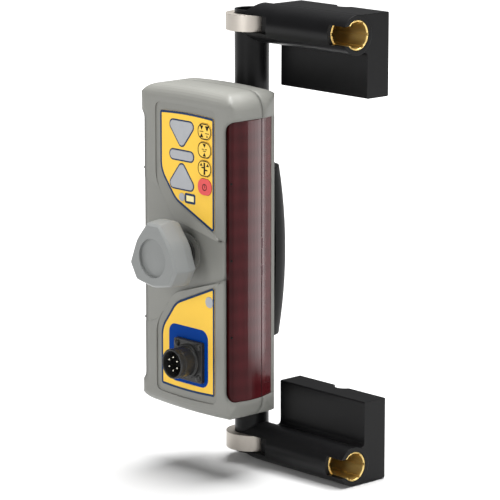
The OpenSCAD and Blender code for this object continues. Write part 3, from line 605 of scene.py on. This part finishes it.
BORDER_W, LENS_LINE, LENS_GAP = 1.7, 1.0, 0.1
lens_lines = [border(lens_shape, LENS_LINE, LENS_LINE + LENS_GAP) for lens_shape in LENSES]
printed_piece("keypad_border", [border(KEYPAD_LABEL, BORDER_W)] + lens_lines, "keypad_label",
              "receiver", ink_navy)
printed_piece("connector_border", [border(CONNECTOR_LABEL, BORDER_W)], "connector_label",
              "receiver", ink_navy)

BATTERY_X, BATTERY_Z = 5.2, 40.2
cell_frame = rectangle(BATTERY_X, BATTERY_Z, width=11.6, height=7.6, radius=1.6)
cell_field = rectangle(BATTERY_X, BATTERY_Z, width=8.0, height=4.0, radius=0.4)
printed_piece("battery_sign", [border(cell_frame, BORDER_W)], "keypad_label", "receiver", ink_navy)
printed_piece("battery_sign_field", [(outline(cell_field), None)], "keypad_label", "receiver",
              pale_yellow)

CONNECTOR_X, CONNECTOR_HEIGHT = 5, -79.4
FLANGE_W, FLANGE_HOLE_W, FLANGE_R = 30.2, 30.4, 1.6
blue_field = rectangle(2.8, -76.4, width=42.6, height=43, radius=7)
flange_hole = rectangle(CONNECTOR_X, CONNECTOR_HEIGHT, FLANGE_HOLE_W, FLANGE_HOLE_W, FLANGE_R)
printed_piece("connector_field", [(outline(blue_field), outline(flange_hole))], "connector_label",
              "receiver", ink_blue)
print("label prints: 6")

# %% [markdown]
# ## Signs on the keys
#
# Each key has a plain sign: arrows that close on a line for the width of the grade band, arrows
# that meet for the reference place, a bar with two bent arrows for the mode, and the usual ring
# and stroke for power. All but the red key have a thin dark rim. The signs are lists of simple
# shapes, measured from the key's middle, and ride on their keys, so they move when pressed.

# %% Key signs
KEY_X, KEY_TOP, KEY_PITCH, KEY_W, KEY_H, KEY_R = 21.3, 91.2, 13.4, 14.4, 11.8, 5.4
KEY_LINE, KEY_MARGIN = 0.75, 0.15
STROKE_R, RING_STEPS = 0.1, 40


def triangle(x, z, width, height):
    """A solid triangle that points up where height is positive."""
    w, h = width / 2, height / 2
    return [Vector((x - w, z - h)), Vector((x + w, z - h)), Vector((x, z + h))], None


def stroke(x, z, width, height):
    return outline(rectangle(x, z, width, height, STROKE_R)), None


def ring(x, z, outer, inner):
    turns = [2 * math.pi * i / RING_STEPS for i in range(RING_STEPS)]
    return tuple([Vector((x + r * math.cos(a), z + r * math.sin(a))) for a in turns]
                 for r in (outer, inner))


# Shape, place right and up of the key's middle, and its two sizes
SIGNS = {
    "deadband": [(triangle, -2.9, 2.7, 3.8, -3.2), (stroke, -2.9, 0, 4.0, 0.6),
                 (triangle, -2.9, -2.7, 3.8, 3.2), (triangle, 2.9, 2.2, 4.4, -4.0),
                 (stroke, 2.9, -1.2, 4.2, 0.6), (triangle, 2.9, -3.0, 1.9, 1.9)],
    "position": [(triangle, 0, 3.1, 3.4, -2.9), (triangle, 0, -3.1, 3.4, 2.9),
                 (stroke, -1.6, 0.6, 2.2, 0.6), (stroke, 1.6, 0.6, 2.2, 0.6),
                 (stroke, 0, -0.7, 3.2, 0.6)],
    "mode": [(stroke, 0, 0, 1.7, 8.8), (triangle, -3.4, 2.8, 3.2, 2.2),
             (triangle, 3.4, 2.8, 3.2, 2.2), (stroke, -2.0, 0.6, 2.4, 1.0),
             (stroke, 2.0, -1.0, 2.4, 1.0)],
    "power": [(ring, 0, -0.2, 2.5, 1.9), (stroke, 0, 0.3, 0.55, 2.4)],
}

for i, (key, parts) in enumerate(SIGNS.items()):
    key_z = KEY_TOP - i * KEY_PITCH
    shapes = [shape(KEY_X + x, key_z + z, *sizes) for shape, x, z, *sizes in parts]
    if key != "power":
        rim = inset(rectangle(KEY_X, key_z, KEY_W, KEY_H, KEY_R), KEY_MARGIN)
        shapes.append(border(rim, KEY_LINE))
    printed_piece(key + "_sign", shapes, key + "_key", key + "_key", ink_black)
print("signs on", len(SIGNS), "keys")

# %% [markdown]
# ## Geometry Nodes for what repeats
#
# Screws, contact pins and window clips repeat. Each is drawn once in a node tree with named
# sizes, set on points, realised and turned into a plain mesh, because exported models keep no
# instances.


# %% Trees with named sizes
class Recipe:
    """A geometry node tree: points in, finished mesh out."""

    def __init__(self, name, *sizes):
        self.tree = bpy.data.node_groups.new(name, "GeometryNodeTree")
        self.socket("Points", "Geometry")
        self.sizes = {size: self.socket(size, "Float") for size in sizes}
        self.finish = self.socket("Finish", "Material")
        self.socket("Mesh", "Geometry", "OUTPUT")
        self.entry = self.tree.nodes.new("NodeGroupInput")

    def socket(self, name, kind, side="INPUT"):
        """A socket of the tree itself, known by its identifier."""
        return self.tree.interface.new_socket(
            name, in_out=side, socket_type="NodeSocket" + kind).identifier

    def given(self, name):
        return self.entry.outputs[name]

    def node(self, kind, settings=None, sockets=None, output=0):
        made = self.tree.nodes.new(kind)
        for name, value in (settings or {}).items():
            setattr(made, name, value)
        for key, value in (sockets or {}).items():
            for one in value if isinstance(value, list) else [value]:
                if isinstance(one, bpy.types.NodeSocket):
                    self.tree.links.new(one, made.inputs[key])
                else:
                    made.inputs[key].default_value = one
        return made.outputs[output]

    def math(self, operation, a, b):
        return self.node("ShaderNodeMath", {"operation": operation}, {0: a, 1: b})

    def vector(self, **parts):
        return self.node("ShaderNodeCombineXYZ", sockets=parts)

    def moved(self, shape, **how):
        return self.node("GeometryNodeTransform", sockets={"Geometry": shape, **how})

    def joined(self, *shapes):
        return self.node("GeometryNodeJoinGeometry", sockets={"Geometry": list(shapes)})

    def end(self, shape):
        """Sets the shape on the points, turned about X, and closes the tree."""
        placed = self.node("GeometryNodeInstanceOnPoints", sockets={
            "Points": self.given("Points"), "Instance": shape,
            "Rotation": self.vector(X=self.given("turn"))})
        realised = self.node("GeometryNodeRealizeInstances", sockets={"Geometry": placed})
        painted = self.node("GeometryNodeSetMaterial", sockets={
            "Geometry": realised, "Material": self.given("Finish")})
        self.tree.links.new(painted, self.tree.nodes.new("NodeGroupOutput").inputs["Mesh"])
        print("recipe", self.tree.name, "has", len(self.tree.nodes), "nodes")

    def make(self, name, points, material, **sizes):
        """A plain mesh object from the tree at those points, sizes in metres or radians."""
        seed = bpy.data.meshes.new(name + "_points")
        seed.from_pydata([tuple(p) for p in points], [], [])
        carrier = added(name + "_points", seed)
        modifier = carrier.modifiers.new("recipe", "NODES")
        modifier.node_group = self.tree
        for size, value in sizes.items():
            modifier[self.sizes[size]] = value
        modifier[self.finish] = material
        graph = bpy.context.evaluated_depsgraph_get()
        data = bpy.data.meshes.new_from_object(carrier.evaluated_get(graph))
        bpy.data.objects.remove(carrier)
        print(name, "has", len(data.polygons), "faces")
        return added(name, data)


SIDES = (-1, 1)
print("recipes can be written")

# %% [markdown]
# ## Screws
#
# Four pan head screws hold the connector and four more close the case from behind. A flattened
# sphere gives the head, and two crossed bars cut its recess. The same tree makes both sizes.

# %% Cross recessed screw heads
ARM_SHARE = 1.1

screw = Recipe("screw_heads", "radius", "height", "slot", "depth", "turn")
ball = screw.node("GeometryNodeMeshUVSphere", sockets={
    "Segments": 28, "Rings": 14, "Radius": screw.given("radius")})
flatness = screw.math("DIVIDE", screw.given("height"), screw.given("radius"))
pan = screw.moved(ball, Scale=screw.vector(X=1.0, Y=1.0, Z=flatness))
arm = screw.math("MULTIPLY", screw.given("radius"), ARM_SHARE)
deep = screw.math("MULTIPLY", screw.given("depth"), 2.0)
bars = screw.joined(*(
    screw.node("GeometryNodeMeshCube", sockets={"Size": screw.vector(X=x, Y=y, Z=deep)})
    for x, y in ((arm, screw.given("slot")), (screw.given("slot"), arm))))
cross = screw.moved(bars, Translation=screw.vector(Z=screw.given("height")))
screw.end(screw.node("GeometryNodeMeshBoolean", {"operation": "DIFFERENCE"},
                     {"Mesh 1": pan, "Mesh 2": cross}))

FLANGE_T, SCREW_PITCH = 2.4, 23
FLANGE_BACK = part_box("connector_gasket")[0].y / MM
FLANGE_FRONT = FLANGE_BACK - FLANGE_T
CONNECTOR_Z = RECEIVER_Z + CONNECTOR_HEIGHT
flange_screws = screw.make(
    "flange_screws",
    [Vector((CONNECTOR_X + x * SCREW_PITCH / 2, FLANGE_FRONT,
             CONNECTOR_Z + z * SCREW_PITCH / 2)) * MM for x in SIDES for z in SIDES],
    connector_black, radius=2.7 * MM, height=1.8 * MM, slot=0.6 * MM, depth=0.9 * MM,
    turn=math.pi / 2)
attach(flange_screws, "receiver")
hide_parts("connector_screws")

BOSS_X, BOSS_Z, HEAD_SEAT = 31, 100, -19.5
case_screws = screw.make(
    "case_screws",
    [Vector((x * BOSS_X, HEAD_SEAT, RECEIVER_Z + z * BOSS_Z)) * MM for x in SIDES for z in SIDES],
    zinc_steel, radius=3.2 * MM, height=2.6 * MM, slot=0.8 * MM, depth=1.3 * MM,
    turn=-math.pi / 2)
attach(case_screws, "receiver")
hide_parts("housing_screws")

# %% [markdown]
# ## Contact pins
#
# Six round ended pins stand on a circle in the connector. A cylinder with a ball at its end is
# enough, because only the tips are seen. The place of the tips is measured on the solid.

# %% Pins on a circle
pin = Recipe("contact_pins", "radius", "length", "turn")
stem = pin.node("GeometryNodeMeshCylinder", sockets={
    "Vertices": 20, "Radius": pin.given("radius"), "Depth": pin.given("length")})
half_back = pin.math("MULTIPLY", pin.given("length"), -0.5)
tip = pin.node("GeometryNodeMeshUVSphere", sockets={
    "Segments": 20, "Rings": 10, "Radius": pin.given("radius")})
pin.end(pin.joined(pin.moved(stem, Translation=pin.vector(Z=half_back)), tip))

PIN_COUNT, PIN_CIRCLE, PIN_R = 6, 5.0, 0.8
PIN_TIP, PIN_BACK = (corner.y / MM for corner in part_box("connector_pins"))
pin_turns = [2 * math.pi * (i + 0.5) / PIN_COUNT for i in range(PIN_COUNT)]
pins = pin.make(
    "connector_contacts",
    [Vector((CONNECTOR_X + PIN_CIRCLE * math.cos(a), PIN_TIP + PIN_R,
             CONNECTOR_Z + PIN_CIRCLE * math.sin(a))) * MM for a in pin_turns],
    pin_plate, radius=PIN_R * MM, length=(PIN_BACK - PIN_TIP - PIN_R) * MM, turn=math.pi / 2)
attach(pins, "receiver")
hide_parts("connector_pins")

# %% [markdown]
# ## Window clips and tabs
#
# Where the front and rear panes meet, two small wire clips on each side hold their edges, and
# three short dark tabs hold the front edge. One recipe bends both: a rectangle with rounded
# corners, swept by a round wire. The seam's place is measured on the rear pane.

# %% Wire clips and tabs
BEND_SHARE = 1.2
ON_ITS_SIDE = (math.pi / 2, 0, math.pi / 2)

clip = Recipe("window_clips", "wire", "width", "height", "turn")
frame_line = clip.node("GeometryNodeCurvePrimitiveQuadrilateral", {"mode": "RECTANGLE"}, {
    "Width": clip.given("width"), "Height": clip.given("height")})
bent_line = clip.node("GeometryNodeFilletCurve", {"mode": "POLY"}, {
    "Curve": frame_line, "Count": 5,
    "Radius": clip.math("MULTIPLY", clip.given("wire"), BEND_SHARE)})
round_wire = clip.node("GeometryNodeCurvePrimitiveCircle", {"mode": "RADIUS"}, {
    "Resolution": 12, "Radius": clip.given("wire")})
bent_wire = clip.node("GeometryNodeCurveToMesh", sockets={
    "Curve": bent_line, "Profile Curve": round_wire})
clip.end(clip.moved(bent_wire, Rotation=ON_ITS_SIDE))

CLIP_SPACING = 10
seam_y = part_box("window_rear_right")[0].y
seam_x = max(v.co.x for v in nodes["window_rear_right"].data.vertices if v.co.y < seam_y + MM / 10)
clips = clip.make(
    "pane_clips",
    [Vector((side * seam_x, seam_y, (RECEIVER_Z + z * CLIP_SPACING) * MM))
     for side in SIDES for z in SIDES],
    clip_clear, wire=0.3 * MM, width=1.4 * MM, height=8 * MM, turn=0.0)
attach(clips, "receiver")

NOTCH_X, NOTCH_Y, NOTCH_HEIGHTS = 46.95, -62.95, (50.3, -5.6, -61.8)
notches = clip.make(
    "pane_notches",
    [Vector((side * NOTCH_X, NOTCH_Y, z)) * MM for side in SIDES for z in NOTCH_HEIGHTS],
    black_nylon, wire=0.5 * MM, width=1.6 * MM, height=0.6 * MM, turn=0.0)
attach(notches, "receiver")

# %% [markdown]
# ## Connector shell
#
# The shell is a turned barrel on a square flange. Half its section is spun round the axis: a foot
# ring, a plain barrel, a groove and a rim. The flange is the same rounded square as the solid,
# lofted from back to front. A live Bevel breaks the edges of both.


# %% Turned barrel and flange
def spun(name, section, axis, material, steps=72):
    """A closed ring from (radius, y) points spun about an axis along Y at axis = (x, z)."""
    mesh = bmesh.new()
    loops = []
    for i in range(steps):
        a = 2 * math.pi * i / steps
        loops.append([mesh.verts.new(Vector((axis[0] + r * math.cos(a), y,
                                             axis[1] + r * math.sin(a))) * MM)
                      for r, y in section])
    for i in range(steps):
        skin(mesh, loops[i], loops[(i + 1) % steps])
    return solid(name, mesh, material)


def lofted(name, rings, material, split=True):
    """A closed solid through rings of the same number of points."""
    mesh = bmesh.new()
    loops = [[mesh.verts.new(Vector(p) * MM) for p in points] for points in rings]
    for near, far in zip(loops, loops[1:]):
        skin(mesh, near, far)
    mesh.faces.new(loops[0])
    mesh.faces.new(loops[-1])
    return solid(name, mesh, material, split)


def break_edges(obj, width, segments):
    rounding = obj.modifiers.new("broken_edges", "BEVEL")
    rounding.width = width * MM
    rounding.segments = segments
    rounding.limit_method = "ANGLE"


# Radius, and distance in front of the flange
BARREL_SECTION = [
    (9.5, -0.8), (12.6, -0.8), (12.6, 1.4), (12.2, 1.9), (11.25, 2.1), (11.05, 2.5),
    (11.05, 10.8), (10.75, 11.0), (10.75, 11.7), (11.05, 11.9), (11.1, 14.9), (10.6, 15.45),
    (10.0, 15.45), (9.5, 15.0)]
barrel = spun("connector_barrel", [(r, FLANGE_FRONT - d) for r, d in BARREL_SECTION],
              (CONNECTOR_X, CONNECTOR_Z), connector_black)
break_edges(barrel, width=0.12, segments=2)
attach(barrel, "receiver")
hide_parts("connector_shell")

square = outline(rectangle(CONNECTOR_X, CONNECTOR_Z, FLANGE_W, FLANGE_W, FLANGE_R))
flange = lofted("connector_flange",
                [[(p.x, y, p.y) for p in square] for y in (FLANGE_BACK, FLANGE_FRONT)],
                connector_black, split=False)
break_edges(flange, width=0.35, segments=3)
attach(flange, "receiver")
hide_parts("connector_shell")
print("barrel and flange faces:", len(barrel.data.polygons), len(flange.data.polygons))

# %% [markdown]
# ## Skirt of the knob
#
# The knob's skirt comes back over the hub. It follows the knob's outline, a triangle with cut
# corners and bowed sides, so the same corners are worked out here and drawn back toward the case
# in a few slightly smaller steps. That leaves the draft that lets a moulding out of its tool.

# %% Skirt behind the lobes
KNOB_W, KNOB_T, KNOB_SHORT, KNOB_BOW, KNOB_BOW_R, KNOB_EDGE = 53, 15, 13, 23, 24, 2
KNOB_LOBES = 3
KNOB_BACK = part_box("clamp_knob")[0].y / MM + KNOB_T


def knob_outline(drawn_in):
    """The lobed outline of the knob, all round smaller by drawn_in."""
    corners = []
    for i in range(KNOB_LOBES):
        a = math.radians(90 + 360 / KNOB_LOBES * i)
        out, along = Vector((math.cos(a), math.sin(a))), Vector((math.sin(a), -math.cos(a)))
        for side in (1, -1):
            p = out * (KNOB_W / 2 - drawn_in) + along * side * KNOB_SHORT / 2
            corners.append((p.x, p.y, KNOB_EDGE))
        b = a + math.pi / KNOB_LOBES
        bow = KNOB_BOW - drawn_in
        corners.append((bow * math.cos(b), bow * math.sin(b), KNOB_BOW_R))
    return outline(corners)


# Distance behind the knob's back edge, and how far the outline is drawn in there
SKIRT = [(-2.4, 0.05), (2.6, 0.7), (4.2, 1.3), (5.2, 2.3), (5.6, 3.4)]
skirt = lofted("knob_skirt", [[(p.x, KNOB_BACK + y, p.y + RECEIVER_Z) for p in knob_outline(d)]
                              for y, d in SKIRT], knob_grey)
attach(skirt, "knob")
print("knob skirt ends at y = %.1f mm" % (KNOB_BACK + SKIRT[-1][0]))

# %% [markdown]
# ## Ramps of the panels
#
# Beside the knob each panel rises from its label to a sharp edge over the valley. The upper ramp
# faces up and catches the light, the lower one lies in shade. A ramp could be cut in the case, but
# its width and its rise both change along the edge, so sections are placed between the label's
# outline and the panel's edge and lofted.

# %% Ramps between the labels and the valley
PANEL_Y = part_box("keypad_label")[0].y / MM + PLATE_T
# Depths behind the panel's face, and the width and drop of the ramp's blunted edge
RAMP_FOOT, RAMP_BACK, RAMP_PROUD = 0.3, 2.4, -0.02
LIP, LIP_DROP = 0.2, 0.15


def bent_path(before, first, second, tip, radius, end):
    """A line round two corners, then straight on to the end."""
    before, first, second, tip, end = (Vector(p) for p in (before, first, second, tip, end))
    path = corner_arc(before, first, second, radius) + corner_arc(first, second, tip, radius)
    last = path[-1]
    return path + [last.lerp(end, i / CORNER_STEPS) for i in range(1, CORNER_STEPS + 1)]


def ramp(name, inner, outer, rise):
    """A solid that climbs from inner to outer by a rise that grows along the paths."""
    rings = []
    for i, (low, high) in enumerate(zip(inner, outer)):
        h = rise * i / (len(inner) - 1)
        away = (high - low).normalized() * LIP
        section = [(low, RAMP_FOOT), (low, RAMP_PROUD), (high, -h), (high + away, LIP_DROP - h),
                   (high + away * 2, RAMP_BACK), (low, RAMP_BACK)]
        rings.append([(p.x, PANEL_Y + y, p.y + RECEIVER_Z) for p, y in section])
    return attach(lofted(name, rings, case_grey), "receiver")


LABEL_BEND_R, PANEL_BEND_R = 20, 24
upper = ramp(
    "upper_panel_ramp",
    bent_path((-27, 101), (-27.3, 57), (-11.2, 37), (31, 18.2), LABEL_BEND_R, (34.5, 16.6)),
    bent_path((-32, 107), (-32, 49.4), (-13, 23.4), (33, 15.4), PANEL_BEND_R, (38, 13.4)),
    rise=2.8)
lower = ramp(
    "lower_panel_ramp",
    bent_path((-27, -102), (-27.3, -59.6), (-11.2, -38.1), (31, -20.8), LABEL_BEND_R,
              (34.5, -19.9)),
    bent_path((-32, -108), (-32, -58), (-13, -32), (33, -17.2), PANEL_BEND_R, (38, -16.6)),
    rise=2.2)
print("ramp faces:", len(upper.data.polygons), len(lower.data.polygons))

# %% [markdown]
# ## Floor
#
# The object stands over a sheet of pale paper. Near the object the paper takes its light from
# the lamps, so that it shows shadows. Far from it the paper glows a little, so that it stays
# white to its edge.

# %% Pale floor
FLOOR_SIZE, FLOOR_GAP = 16.0, 0.0005
PAPER_DARK, PAPER_LIGHT = (0.63,) * 3, (0.65,) * 3
BLACK, WHITE = (0, 0, 0), (1, 1, 1)
# Squares of the distances at which the glow begins and is full
GLOW_FROM, GLOW_FULL = 0.05, 3.0

paper = Finish("floor_paper", Roughness=0.9, Emission_Strength=0.8)
across, deep_in = paper.along("X"), paper.along("Y")
far_off = (across * across + deep_in * deep_in).climb(GLOW_FROM, GLOW_FULL)
paper.give(Base_Color=paper.tint(paper.noise(size=0.5), PAPER_DARK, PAPER_LIGHT),
           Emission_Color=paper.tint(far_off, BLACK, WHITE))

floor_z = cad_box[0].z - FLOOR_GAP
reach = FLOOR_SIZE / 2
sheet = bpy.data.meshes.new("floor")
sheet.from_pydata([(-reach, -reach, floor_z), (reach, -reach, floor_z),
                   (reach, reach, floor_z), (-reach, reach, floor_z)], [], [(0, 1, 2, 3)])
floor = added("floor", sheet)
dress(floor, paper.material)
print("floor at %.1f mm" % (floor_z / MM))

# %% [markdown]
# ## Light
#
# One large overhead lamp, as in a product studio, lights the tops most and turns the pale floor
# white. A lamp fills the front and a weaker one the right side. Two more are kept to a few nodes
# by light linking: a low one beside the case draws the long highlight down the windows, which
# would otherwise mirror the floor, and one looks into the brass sockets.

# %% Lamps
# Place, aim and size in metres, and power in watts
LAMPS = {
    "top_lamp": ((0, 0.4, 2.3), (0, 0.1, 0), (2.2, 2.2), 168),
    "front_lamp": ((0.2, -2.0, 0.7), (0, 0, 0), (0.8, 0.8), 15),
    "side_lamp": ((2.0, 0.6, 0.5), (0.1, 0, 0), (0.7, 1.2), 6),
    "window_lamp": ((0.25, 0.24, -0.02), (0.05, -0.045, -0.02), (0.3, 0.3), 2.3),
    "socket_lamp": ((2.0, -0.5, 0.5), (0.1, 0, 0), (0.7, 0.7), 18),
}
KEPT_TO = {"window_lamp": FINISHES[red_window], "socket_lamp": FINISHES[turned_brass]}
AMBIENT = 0.12


def lamp(name, place, aim, size, power):
    light = bpy.data.lights.new(name, "AREA")
    light.shape = "RECTANGLE"
    light.size, light.size_y = size
    light.energy = power
    obj = added(name, light)
    obj.location = place
    obj.rotation_euler = (Vector(aim) - Vector(place)).to_track_quat("-Z", "Y").to_euler()
    return obj


def only_on(light, names):
    """Keeps a lamp's light to those nodes."""
    lit = bpy.data.collections.new(light.name + "_nodes")
    for name in names:
        lit.objects.link(nodes[name])
    light.light_linking.receiver_collection = lit


for name, setting in LAMPS.items():
    light = lamp(name, *setting)
    if name in KEPT_TO:
        only_on(light, KEPT_TO[name])

world = bpy.data.worlds.new("studio")
world.use_nodes = True
sky = world.node_tree.nodes["Background"].inputs
sky["Color"].default_value = (*WHITE, 1)
sky["Strength"].default_value = AMBIENT
bpy.context.scene.world = world
bpy.context.scene.view_settings.view_transform = "Standard"
print("lamps:", len(LAMPS), "of them kept to a few nodes:", len(KEPT_TO))
